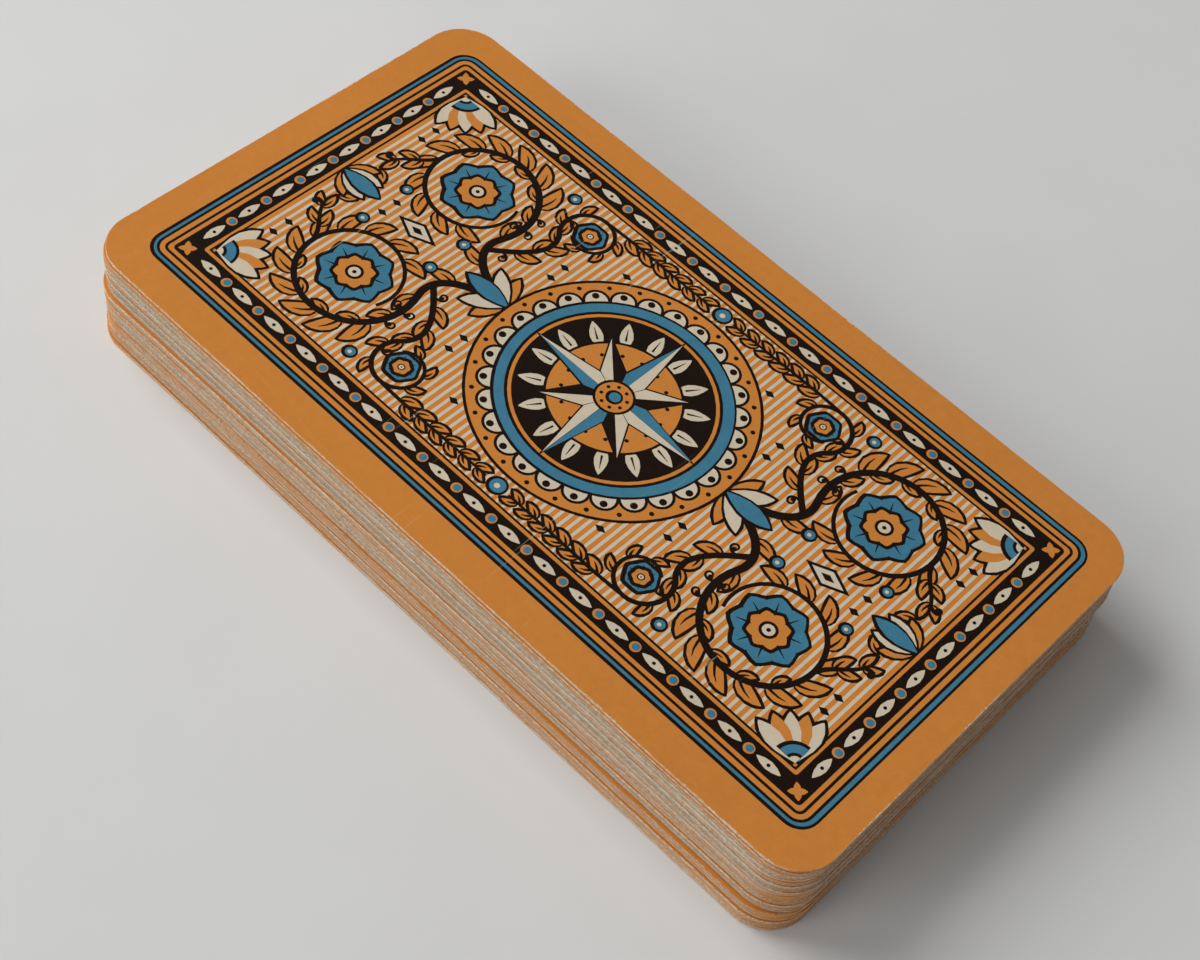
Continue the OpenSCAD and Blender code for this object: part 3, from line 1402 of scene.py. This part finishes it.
@dataclass
class Graph:
    """Node tree under construction."""

    tree: bpy.types.NodeTree

    def feed(self, node: bpy.types.Node, feeds: dict[str | int, Feed]) -> None:
        """Link sockets to a node's inputs, or set values on them.

        Args:
            node: The node.
            feeds: Socket or value for each input.
        """
        for key, value in feeds.items():
            if isinstance(value, bpy.types.NodeSocket):
                self.tree.links.new(value, node.inputs[key])
            else:
                node.inputs[key].default_value = value

    def node(self, kind: str, feeds: dict[str | int, Feed] | None = None,
             **settings: object) -> bpy.types.Node:
        """Add a node.

        Args:
            kind: Type of the node, without ShaderNode.
            feeds: Socket or value for each input.
            settings: Properties of the node.

        Returns:
            The node.
        """
        made = self.tree.nodes.new("ShaderNode" + kind)
        for name, value in settings.items():
            setattr(made, name, value)
        self.feed(made, feeds or {})
        return made

    def math(self, operation: str, *terms: Feed, clamp: bool = False) -> Socket:
        """Result of one sum on numbers."""
        return self.node("Math", dict(enumerate(terms)), operation=operation, use_clamp=clamp).outputs[0]

    def vector(self, operation: str, *terms: Feed) -> Socket:
        """Result of one sum on vectors."""
        return self.node("VectorMath", dict(enumerate(terms)), operation=operation).outputs[0]

    def mix(self, share: Feed, a: Feed, b: Feed) -> Socket:
        """Blend of two colours, by a share of the second."""
        return self.node("Mix", {0: share, 6: a, 7: b}, data_type="RGBA").outputs[2]

    def ramp(self, value: Feed, low: Feed, high: Feed, start: float = 0.0, end: float = 1.0) -> Socket:
        """Smooth step from start at low to end at high."""
        feeds = {"Value": value, "From Min": low, "From Max": high, "To Min": start, "To Max": end}
        return self.node("MapRange", feeds, interpolation_type="SMOOTHSTEP").outputs[0]

    def noise(self, place: Feed, scale: Feed, detail: float = 2.0, roughness: float = 0.5) -> Socket:
        """Noise between 0 and 1, mostly near a half."""
        feeds = {"Vector": place, "Scale": scale, "Detail": detail, "Roughness": roughness}
        return self.node("TexNoise", feeds).outputs[0]

    def stretched(self, place: Feed, turn: float, stretch: Triple) -> Socket:
        """Places turned about the upright axis, by degrees, and then scaled."""
        feeds = {"Vector": place, "Rotation": (0.0, 0.0, np.radians(turn)), "Scale": stretch}
        return self.node("Mapping", feeds).outputs[0]

    def bump(self, height: Socket, strength: float, distance: float) -> Socket:
        """Normal of a surface that a height lifts by up to a distance."""
        feeds = {"Height": height, "Strength": strength, "Distance": distance}
        return self.node("Bump", feeds).outputs[0]

    def looked_at(self) -> Socket:
        """Tell what the camera sees from what lights the scene.

        Returns:
            1 for a ray from the camera, mirrored or refracted ones too, and 0 for a ray of the lighting.
        """
        rays = self.node("LightPath").outputs
        mirrored = self.math("MAXIMUM", rays["Is Glossy Ray"], rays["Is Transmission Ray"])
        return self.math("MAXIMUM", rays["Is Camera Ray"], mirrored)


def new_material(name: str) -> tuple[Graph, bpy.types.Node]:
    """Start a material.

    Args:
        name: Its name.

    Returns:
        Its graph and the Principled shader in it.
    """
    material = bpy.data.materials.new(name)
    material.use_nodes = True
    return Graph(material.node_tree), material.node_tree.nodes["Principled BSDF"]


class SharedEffect:
    """Shader node group that is built once and placed in each material with its own values."""

    name: str
    inputs: dict[str, tuple[str, float | None]]
    outputs: tuple[str, ...]

    def wire(self, graph: Graph, given: dict[str, Socket]) -> dict[str, Socket]:
        """Wire the inside of the group.

        Args:
            graph: The group's own tree.
            given: Sockets of the group's inputs.

        Returns:
            What feeds each of the group's outputs.
        """
        raise NotImplementedError

    def place(self, graph: Graph, **feeds: Feed) -> bpy.types.Node:
        """Place the group in a tree.

        Args:
            graph: The tree.
            feeds: Socket or value for each input, with underscores for spaces in its name.

        Returns:
            The group's node.
        """
        tree = bpy.data.node_groups.get(self.name) or self._build()
        spaced = {key.replace("_", " "): value for key, value in feeds.items()}
        return graph.node("Group", spaced, node_tree=tree)

    def _build(self) -> bpy.types.NodeTree:
        """Make the group's sockets and wire it.

        Returns:
            The group's tree.
        """
        tree = bpy.data.node_groups.new(self.name, "ShaderNodeTree")
        for name, (kind, default) in self.inputs.items():
            socket = tree.interface.new_socket(name, in_out="INPUT", socket_type="NodeSocket" + kind)
            if default is not None:
                socket.default_value = default
        for name in self.outputs:
            tree.interface.new_socket(name, in_out="OUTPUT", socket_type="NodeSocketFloat")
        given = tree.nodes.new("NodeGroupInput").outputs
        graph = Graph(tree)
        results = self.wire(graph, {name: given[name] for name in self.inputs})
        graph.feed(tree.nodes.new("NodeGroupOutput"), results)
        return tree


class EdgeDistance(SharedEffect):
    """How far a place on a card lies from the cut edge, in mm.

    Past the middle of the corner's arc the distance to a rounded rectangle is the arc's radius
    less the distance to its middle, and elsewhere it is the distance to the nearest side.
    """

    name = "Distance to cut edge"
    inputs = {"Place": ("Vector", None), "Half Width": ("Float", 28.0), "Half Length": ("Float", 50.0),
              "Corner": ("Float", 5.0)}
    outputs = ("Distance",)

    def wire(self, graph: Graph, given: dict[str, Socket]) -> dict[str, Socket]:
        """Wire the distance to a rounded rectangle.

        Args:
            graph: The group's own tree.
            given: Place on the UV map, half the sizes of the card, and its corner radius.

        Returns:
            The distance.
        """
        scaled = graph.vector("MULTIPLY", given["Place"], (UV_SPAN, UV_SPAN, 0.0))
        axes = graph.node("SeparateXYZ", {0: graph.vector("ABSOLUTE", scaled)}).outputs
        past = [
            graph.math("ADD", graph.math("SUBTRACT", axis, half), given["Corner"])
            for axis, half in ((axes[0], given["Half Width"]), (axes[1], given["Half Length"]))
        ]
        outer = [graph.math("MAXIMUM", p, 0.0) for p in past]
        squares = [graph.math("MULTIPLY", p, p) for p in outer]
        round_part = graph.math("SQRT", graph.math("ADD", *squares))
        flat_part = graph.math("MINIMUM", graph.math("MAXIMUM", *past), 0.0)
        return {"Distance": graph.math("SUBTRACT", given["Corner"], graph.math("ADD", round_part, flat_part))}


class PaperTooth(SharedEffect):
    """Fine tooth and felt of the paper, as a height and as a tone."""

    name = "Paper tooth"
    inputs = {"Place": ("Vector", None), "Grain": ("Float", 0.14)}
    outputs = ("Height", "Tone")

    def wire(self, graph: Graph, given: dict[str, Socket]) -> dict[str, Socket]:
        """Wire three sizes of noise, the finest as set by the grain.

        Args:
            graph: The group's own tree.
            given: Place on the object, and the grain's size in mm.

        Returns:
            The height and the tone.
        """
        place = given["Place"]
        fine = graph.noise(place, graph.math("DIVIDE", 1.0 / MM, given["Grain"]), 3.0, 0.6)
        felt = graph.noise(graph.stretched(place, 20.0, (1.0, 0.35, 1.0)), 1500.0, 3.0, 0.6)
        cloud = graph.noise(place, 160.0, 3.0)
        height = graph.math("MULTIPLY_ADD", felt, 0.8, fine)
        tone = graph.math("MULTIPLY_ADD", felt, 0.4, graph.math("MULTIPLY", fine, 0.3))
        return {"Height": height, "Tone": graph.math("MULTIPLY_ADD", cloud, 0.3, tone)}


class RubbedEdge(SharedEffect):
    """Ragged strip along the cut edge where handling has rubbed the ink off."""

    name = "Rubbed edge"
    inputs = {"Distance": ("Float", 1.0), "Place": ("Vector", None), "Width": ("Float", 0.1)}
    outputs = ("Mask",)

    def wire(self, graph: Graph, given: dict[str, Socket]) -> dict[str, Socket]:
        """Wire a strip whose width is swung by fine and by broad noise.

        Args:
            graph: The group's own tree.
            given: Distance to the edge, place on the object, and the strip's width, in mm.

        Returns:
            The mask.
        """
        nicks = graph.ramp(graph.noise(given["Place"], 3600.0, 3.0, 0.65), 0.3, 0.75, 0.2, 1.8)
        broad = graph.ramp(graph.noise(given["Place"], 130.0, 2.0), 0.35, 0.65, 0.25, 1.6)
        reach = graph.math("MULTIPLY", graph.math("MULTIPLY", nicks, broad), given["Width"])
        inside = graph.math("SUBTRACT", reach, given["Distance"])
        return {"Mask": graph.ramp(inside, -0.02, 0.03)}


class InkLay(SharedEffect):
    """How evenly the ink lies: pinholes that show the paper, and a mottled density."""

    name = "Ink lay"
    inputs = {"Place": ("Vector", None), "Pinholes": ("Float", 0.5)}
    outputs = ("Bare", "Density")

    def wire(self, graph: Graph, given: dict[str, Socket]) -> dict[str, Socket]:
        """Wire specks above a threshold of fine noise, and two sizes of mottling.

        Args:
            graph: The group's own tree.
            given: Place on the object, and how bare the pinholes are.

        Returns:
            How bare the paper is, and the density of the ink.
        """
        specks = graph.noise(given["Place"], 4200.0, 2.0, 0.6)
        bare = graph.math("MULTIPLY", graph.ramp(specks, 0.66, 0.78), given["Pinholes"])
        mottle = graph.noise(given["Place"], 900.0, 3.0, 0.6)
        drift = graph.noise(given["Place"], 45.0, 2.0)
        density = graph.math("MULTIPLY_ADD", mottle, 0.55, graph.math("MULTIPLY", drift, 0.45))
        return {"Bare": bare, "Density": density}


class HandlingMarks(SharedEffect):
    """Fine scratches and scuffs from handling."""

    name = "Handling marks"
    inputs = {"Place": ("Vector", None)}
    outputs = ("Mask",)

    def wire(self, graph: Graph, given: dict[str, Socket]) -> dict[str, Socket]:
        """Wire two sets of long thin streaks, each let through in a few patches only.

        Args:
            graph: The group's own tree.
            given: Place on the object.

        Returns:
            The mask.
        """
        masks = []
        for turn, shift in ((34.0, 0.3), (-52.0, 1.7)):
            lanes = graph.stretched(given["Place"], turn, (60.0, 2600.0, 1.0))
            streaks = graph.ramp(graph.noise(lanes, 1.0, 1.0), 0.70, 0.76)
            moved = graph.vector("ADD", given["Place"], (shift, shift, 0.0))
            patches = graph.ramp(graph.noise(moved, 55.0, 1.0), 0.58, 0.68)
            masks.append(graph.math("MULTIPLY", streaks, patches))
        return {"Mask": graph.math("MAXIMUM", *masks)}


@dataclass(frozen=True)
class PrintFinish:
    """Ink on paper, or the bare paper, with its tooth, its wear and its marks."""

    name: str
    colour: Colour
    depth: float
    pinholes: float
    rub: float
    roughness: float
    specular: float = 0.05
    grain: float = 0.14
    marks: float = 0.3
    roughness_swing: float = 0.16
    # Strength of the paper's tooth, and its height in mm
    tooth: Pair = (0.22, 0.06)

    def material(self, place: CardPlace) -> bpy.types.Material:
        """Make the material.

        Args:
            place: The cut of the cards, for the distance to their edge.

        Returns:
            The material.
        """
        graph, shader = new_material(self.name)
        spot = graph.node("TexCoord").outputs["Object"]
        local = graph.node("UVMap", uv_map="card").outputs[0]
        edge = EdgeDistance().place(graph, Place=local, Half_Width=place.width / 2,
                                    Half_Length=place.length / 2, Corner=place.corner)
        rub = RubbedEdge().place(graph, Distance=edge.outputs[0], Place=spot, Width=self.rub)
        lay = InkLay().place(graph, Place=spot, Pinholes=self.pinholes)
        scratches = HandlingMarks().place(graph, Place=spot).outputs["Mask"]
        height, tone = PaperTooth().place(graph, Place=spot, Grain=self.grain).outputs
        dark = toned(self.colour, 1.0 - self.depth)
        light = toned(self.colour, 1.0 + 0.5 * self.depth)
        ink = graph.mix(graph.ramp(lay.outputs["Density"], 0.3, 0.7), light, dark)
        ink = graph.mix(graph.math("MULTIPLY", tone, 0.3), ink, dark)
        worn = graph.math("MAXIMUM", lay.outputs["Bare"], graph.math("MULTIPLY", scratches, self.marks))
        worn = graph.math("MAXIMUM", worn, rub.outputs["Mask"])
        swing = self.roughness_swing
        rough = graph.math("MULTIPLY_ADD", tone, swing, self.roughness - swing / 2)
        strength, lift = self.tooth
        graph.feed(shader, {
            "Base Color": graph.mix(worn, ink, PAPER_WHITE),
            "Roughness": graph.math("MULTIPLY_ADD", worn, 0.2, rough, clamp=True),
            "Specular IOR Level": self.specular,
            "Normal": graph.bump(height, strength, lift * MM),
        })
        return bpy.data.materials[self.name]


@dataclass(frozen=True)
class CutPlaces:
    """Sockets that tell where a spot lies on the cut edges of the pack."""

    graph: Graph
    spot: Socket
    # Places along x and y, counted from the middle, and the height
    axes: tuple[Socket, ...]
    run: Socket
    share: Socket
    number: Socket

    @classmethod
    def of_pack(cls, graph: Graph, pitch: float, gap: float) -> "CutPlaces":
        """Read the places off the object and its UV map, and the card's number off the height.

        Args:
            graph: The material's tree.
            pitch: Height from card to card, in mm.
            gap: Air between two cards, in mm.

        Returns:
            The sockets.
        """
        spot = graph.node("TexCoord").outputs["Object"]
        local = graph.node("UVMap", uv_map="card").outputs[0]
        run, share, _ = graph.node("SeparateXYZ", {0: local}).outputs
        axes = tuple(graph.node("SeparateXYZ", {0: graph.vector("ABSOLUTE", spot)}).outputs)
        raised = graph.math("ADD", axes[2], gap / 2 * MM)
        number = graph.math("FLOOR", graph.math("DIVIDE", raised, pitch * MM))
        return cls(graph, spot, axes, run, share, number)

    def lane(self, stretch: float, spread: float = 1.0, across: Feed = 0.0) -> Socket:
        """Places for noise along the cut, with a lane of its own for each card.

        Args:
            stretch: Swings of the noise in a unit of run.
            spread: How far apart the lanes lie.
            across: Place across the lane.

        Returns:
            The places.
        """
        along = self.graph.math("MULTIPLY", self.run, stretch)
        number = self.graph.math("MULTIPLY", self.number, spread)
        return self.graph.node("CombineXYZ", {0: along, 1: across, 2: number}).outputs[0]


@dataclass(frozen=True)
class BoardFinish:
    """Cut edge of the pasteboard: pressed plies with soiled streaks, ink drawn over its upper edge, and
    painted shade along its lower edge, where it meets the card below.
    """

    name: str
    ply: Colour
    # Tone of the soiled board, which at 0.4 of its level is also the painted shade along each card's lower
    # edge
    soil_and_shade: Colour
    ink: Colour
    pitch: float
    gap: float
    plies: float = 4.0
    raggedness: float = 0.7
    specular: float = 0.2
    # Strength of the rough cut, and its height in mm
    tooth: Pair = (0.5, 0.04)
    # Steps of the golden ratio give neighbouring cards unlike tones
    golden: float = 0.618034
    # How far in from the sides the pack's corners are inked, in mm
    corner_reach: float = 6.0

    def material(self, place: CardPlace) -> bpy.types.Material:
        """Make the material.

        Args:
            place: The cut of the cards.

        Returns:
            The material.
        """
        graph, shader = new_material(self.name)
        cut = CutPlaces.of_pack(graph, self.pitch, self.gap)
        across = graph.math("MULTIPLY", cut.share, self.plies)
        streaks = graph.noise(cut.lane(110.0, across=across), 1.0, 3.0, 0.7)
        fibres = graph.noise(cut.spot, 5200.0, 3.0, 0.6)
        grain = graph.noise(graph.stretched(cut.spot, 0.0, (1.0, 1.0, 1.8)), 3400.0, 3.0, 0.75)
        grain = graph.ramp(grain, 0.38, 0.62)
        # Share of the thickness, swung by the grain so that no line on the cut is even
        ragged = graph.math("SUBTRACT", cut.share, self.raggedness / 2)
        ragged = graph.math("MULTIPLY_ADD", grain, self.raggedness, ragged)
        colour = graph.mix(self._soiling(cut, streaks, grain), self.ply, self.soil_and_shade)
        colour = graph.mix(graph.ramp(fibres, 0.44, 0.66, 0.0, 0.55), colour, PAPER_WHITE)
        # Painted shade: the cut darkens towards each card's lower edge, where the gap to the card below lies
        painted_gap_shade = graph.ramp(ragged, 0.34, 0.06, 0.0, 0.65)
        colour = graph.mix(painted_gap_shade, colour, toned(self.soil_and_shade, 0.4))
        rough_cut = graph.math("ADD", streaks, graph.math("MULTIPLY", fibres, 0.6))
        strength, lift = self.tooth
        graph.feed(shader, {
            "Base Color": graph.mix(self._inking(cut, place, streaks, ragged), colour, self.ink),
            "Roughness": graph.ramp(fibres, 0.3, 0.7, 0.75, 0.95),
            "Specular IOR Level": self.specular,
            "Normal": graph.bump(rough_cut, strength, lift * MM),
        })
        return bpy.data.materials[self.name]

    def _soiling(self, cut: CutPlaces, streaks: Socket, grain: Socket) -> Socket:
        """Sum up the streaks, a slow drift, the grain and the card's own tone.

        Args:
            cut: Places on the cut.
            streaks: Noise along the plies.
            grain: Grain of the board.

        Returns:
            How soiled the board is.
        """
        graph = cut.graph
        drift = graph.noise(cut.lane(6.0, 3.7), 1.0, 2.0)
        own = graph.math("FRACT", graph.math("MULTIPLY", cut.number, self.golden))
        soiling = graph.math("MULTIPLY_ADD", streaks, 0.3, graph.math("MULTIPLY", drift, 0.14))
        for part, weight in ((grain, 0.5), (own, 0.4)):
            soiling = graph.math("MULTIPLY_ADD", part, weight, soiling)
        return graph.ramp(soiling, 0.32, 1.0)

    def _inking(self, cut: CutPlaces, place: CardPlace, streaks: Socket, ragged: Socket) -> Socket:
        """Spread ink over some cards: along their upper edges, at the pack's corners and low in the pack.

        Args:
            cut: Places on the cut.
            place: The cut of the cards.
            streaks: Noise along the plies.
            ragged: Share of the thickness, swung by the grain.

        Returns:
            How much ink lies on the cut.
        """
        graph = cut.graph
        x, y, z = cut.axes
        inset = [graph.math("MULTIPLY_ADD", axis, 1.0 / MM, self.corner_reach - side / 2)
                 for axis, side in ((x, place.width), (y, place.length))]
        corner = graph.ramp(graph.math("MINIMUM", *inset), 0.0, 4.0, 0.0, 0.38)
        low = graph.ramp(z, 5.5 * MM, 1.0 * MM, 0.0, 0.3)
        chosen = graph.node("TexWhiteNoise", {"W": cut.number}, noise_dimensions="1D").outputs[0]
        blots = graph.noise(cut.lane(14.0, 7.1), 1.0, 3.0, 0.6)
        blots = graph.ramp(graph.math("MULTIPLY_ADD", chosen, 0.5, blots), 0.6, 0.95)
        wash = graph.math("MULTIPLY", blots, graph.math("ADD", graph.math("ADD", corner, low), 0.3))
        drawn = graph.ramp(graph.math("MULTIPLY_ADD", streaks, 0.35, ragged), 0.78, 1.1)
        drawn = graph.math("MULTIPLY", drawn, graph.math("MULTIPLY_ADD", blots, 0.7, 0.25))
        return graph.math("MULTIPLY_ADD", corner, 0.4, graph.math("MAXIMUM", wash, drawn), clamp=True)


@dataclass(frozen=True)
class FloorFinish:
    """Pale matt floor that the camera sees at an even tone far off, and that is clear from below."""

    name: str = "pale_floor"
    tones: tuple[Colour, Colour] = (linear(212, 212, 211), linear(218, 218, 217))
    far_tone: Colour = linear(214, 214, 213)
    # Reach from the middle over which the even tone takes over, in metres
    far: Pair = (0.2, 1.2)
    mottling: float = 60.0
    roughness: float = 0.8

    def material(self) -> bpy.types.Material:
        """Make the material.

        Returns:
            The material.
        """
        graph, shader = new_material(self.name)
        spot = graph.node("TexCoord").outputs["Object"]
        graph.feed(shader, {
            "Base Color": graph.mix(graph.noise(spot, self.mottling, 4.0), *self.tones),
            "Roughness": self.roughness,
        })
        reach = graph.node("VectorMath", {0: spot}, operation="LENGTH").outputs["Value"]
        far = graph.math("MULTIPLY", graph.looked_at(), graph.ramp(reach, *self.far))
        even = graph.node("Emission", {"Color": self.far_tone}).outputs[0]
        top = graph.node("MixShader", {0: far, 1: shader.outputs[0], 2: even}).outputs[0]
        under = graph.node("NewGeometry").outputs["Backfacing"]
        clear = graph.node("BsdfTransparent").outputs[0]
        whole = graph.node("MixShader", {0: under, 1: top, 2: clear}).outputs[0]
        graph.feed(graph.tree.nodes["Material Output"], {"Surface": whole})
        return bpy.data.materials[self.name]


# Pack


@dataclass
class SkatPack:
    """The whole pack, from the bottom card up."""

    softness: float = 0.05
    orange: Colour = linear(204, 130, 58)

    def build(self) -> None:
        """Print the back once and every face, and make all the cards of the frame."""
        nodes = sorted(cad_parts, key=lambda node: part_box(node)[0].z)
        places = [CardPlace.of_node(node) for node in nodes]
        cut = places[0]
        edge = CardEdge.of_cut(cut, self.softness)
        materials = self._materials(cut, places[1].base - cut.base)
        back = Facets.cut(CardBack().sheet(), edge.points, Ink.ORANGE)
        log.info("back: %d facets", len(back.corners))
        for number, (node, place) in enumerate(zip(nodes, places)):
            rank, suit = node.split("_of_")
            face = Facets.cut(CardFace(Suit(suit), Rank(rank)).sheet(), edge.points, Ink.PAPER)
            card = Card(node, place, back, face, edge, self.softness).build(materials, number)
            log.info("%s: %d facets", card.name, len(card.data.polygons))

    def _materials(self, cut: CardPlace, pitch: float) -> dict[Ink, bpy.types.Material]:
        """Make the material of each ink and of the cut edge.

        Args:
            cut: The cut of the cards.
            pitch: Height from card to card, in mm.

        Returns:
            The materials.
        """
        finishes = {
            Ink.BOARD: BoardFinish("cut_board", linear(214, 202, 182), linear(138, 120, 98), self.orange,
                                   pitch, pitch - cut.thickness),
            Ink.PAPER: PrintFinish("bare_paper", PAPER_WHITE, 0.08, 0.0, 0.0, 0.7),
            Ink.ORANGE: PrintFinish("orange_ink", self.orange, 0.07, 0.2, 0.07, 0.58),
            Ink.BLUE: PrintFinish("blue_ink", linear(65, 123, 148), 0.14, 0.25, 0.0, 0.58),
            Ink.BLACK: PrintFinish("black_ink", linear(25, 14, 7), 0.25, 0.05, 0.0, 0.62),
            Ink.RED: PrintFinish("red_ink", linear(176, 44, 34), 0.16, 0.3, 0.0, 0.55),
            Ink.GREEN: PrintFinish("green_ink", linear(62, 110, 60), 0.16, 0.3, 0.0, 0.55),
            Ink.GOLD: PrintFinish("gold_ink", linear(214, 164, 62), 0.12, 0.3, 0.0, 0.55),
        }
        return {ink: finish.material(cut) for ink, finish in finishes.items()}


# Studio


@dataclass(frozen=True)
class SoftLamp:
    """Square soft lamp that looks at the pack, in metres, watts and degrees of spread."""

    name: str
    place: Triple
    size: float
    power: float
    spread: float = 180.0

    def hang(self) -> bpy.types.Object:
        """Hang the lamp at its place.

        Returns:
            The lamp's object.
        """
        lamp = bpy.data.lights.new(self.name, "AREA")
        lamp.shape = "SQUARE"
        lamp.size = self.size
        lamp.energy = self.power
        lamp.spread = np.radians(self.spread)
        holder = new_object(lamp)
        holder.location = self.place
        holder.rotation_euler = (-Vector(self.place)).to_track_quat("-Z", "Y").to_euler()
        return holder


@dataclass
class Studio:
    """Plain pale floor, soft light from behind and the left, and the camera."""

    floor_radius: float = 3.0
    floor_rings: tuple[float, ...] = (0.02, 0.2, 1.0)
    floor_sides: int = 48
    floor_gap: float = 0.00005
    lamps: tuple[SoftLamp, ...] = (
        SoftLamp("window", (-0.12, 0.43, 0.4), 0.4, 0.89, 120.0),
        SoftLamp("sky", (-0.7, 2.5, 2.3), 2.4, 37.0),
        SoftLamp("fill", (-3.0, 0.9, 1.5), 2.0, 44.0),
    )
    under_lamp: SoftLamp = SoftLamp("under", (0.0, 0.0, -3.0), 0.8, 65.0)
    # Strength of the light from all round, and of the background as the camera sees it
    surround: float = 0.2
    backdrop: float = 0.67
    camera_place: Triple = (-0.12093, -0.07438, 0.18748)
    camera_turn: Triple = (35.958, -8.985, -46.746)
    lens: float = 64.96
    clip_start: float = 0.01

    def build(self) -> None:
        """Make the floor, the world, the lamps and the camera."""
        bpy.context.scene.view_settings.view_transform = "Standard"
        floor = self._floor()
        self._world()
        for lamp in self.lamps:
            lamp.hang()
        self._shine_through(floor, self.under_lamp.hang())
        self._camera()

    def _floor(self) -> bpy.types.Object:
        """Make the floor, a round sheet whose two parameters are the angle and the reach from the middle.

        Returns:
            The floor's object.
        """
        angle = around(self.floor_sides)
        reach = np.array(self.floor_rings)[:, None] * self.floor_radius
        x = reach * np.cos(angle)
        points = np.dstack([x, reach * np.sin(angle), np.full(x.shape, -self.floor_gap)])
        rows = np.arange(x.size).reshape(x.shape)
        quads = cells(rows, np.roll(rows, -1, axis=1))[:, ::-1]
        mesh = bpy.data.meshes.new("floor")
        mesh.from_pydata(points.reshape(-1, 3).tolist(), [], [*quads.tolist(), rows[0].tolist()])
        mesh.materials.append(FloorFinish().material())
        floor = new_object(mesh)
        return floor

    def _shine_through(self, floor: bpy.types.Object, lamp: bpy.types.Object) -> None:
        """Let a lamp's light pass the floor to the faces, which show from below, and go no further.

        Args:
            floor: The floor.
            lamp: The lamp under it.
        """
        passed = bpy.data.collections.new("passed_by_" + lamp.name)
        passed.objects.link(floor)
        passed.collection_objects[0].light_linking.link_state = "EXCLUDE"
        lamp.light_linking.blocker_collection = passed
        lamp.data.cycles.max_bounces = 0

    def _world(self) -> None:
        """Light from all round, and a pale background to the camera."""
        world = bpy.data.worlds.new("studio")
        bpy.context.scene.world = world
        world.use_nodes = True
        graph = Graph(world.node_tree)
        seen = self.backdrop - self.surround
        graph.feed(world.node_tree.nodes["Background"], {
            "Color": (1.0, 1.0, 1.0, 1.0),
            "Strength": graph.math("MULTIPLY_ADD", graph.looked_at(), seen, self.surround),
        })

    def _camera(self) -> None:
        """Set up the camera at the viewing angle."""
        data = bpy.data.cameras.new("camera")
        data.lens = self.lens
        data.clip_start = self.clip_start
        camera = new_object(data)
        camera.location = self.camera_place
        camera.rotation_euler = Euler(np.radians(self.camera_turn), "XYZ")
        bpy.context.scene.camera = camera


def main() -> None:
    """Build the studio and the pack."""
    logging.basicConfig(level=logging.INFO, format="%(name)s: %(message)s")
    Studio().build()
    SkatPack().build()
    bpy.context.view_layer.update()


if __name__ == "__main__":
    main()
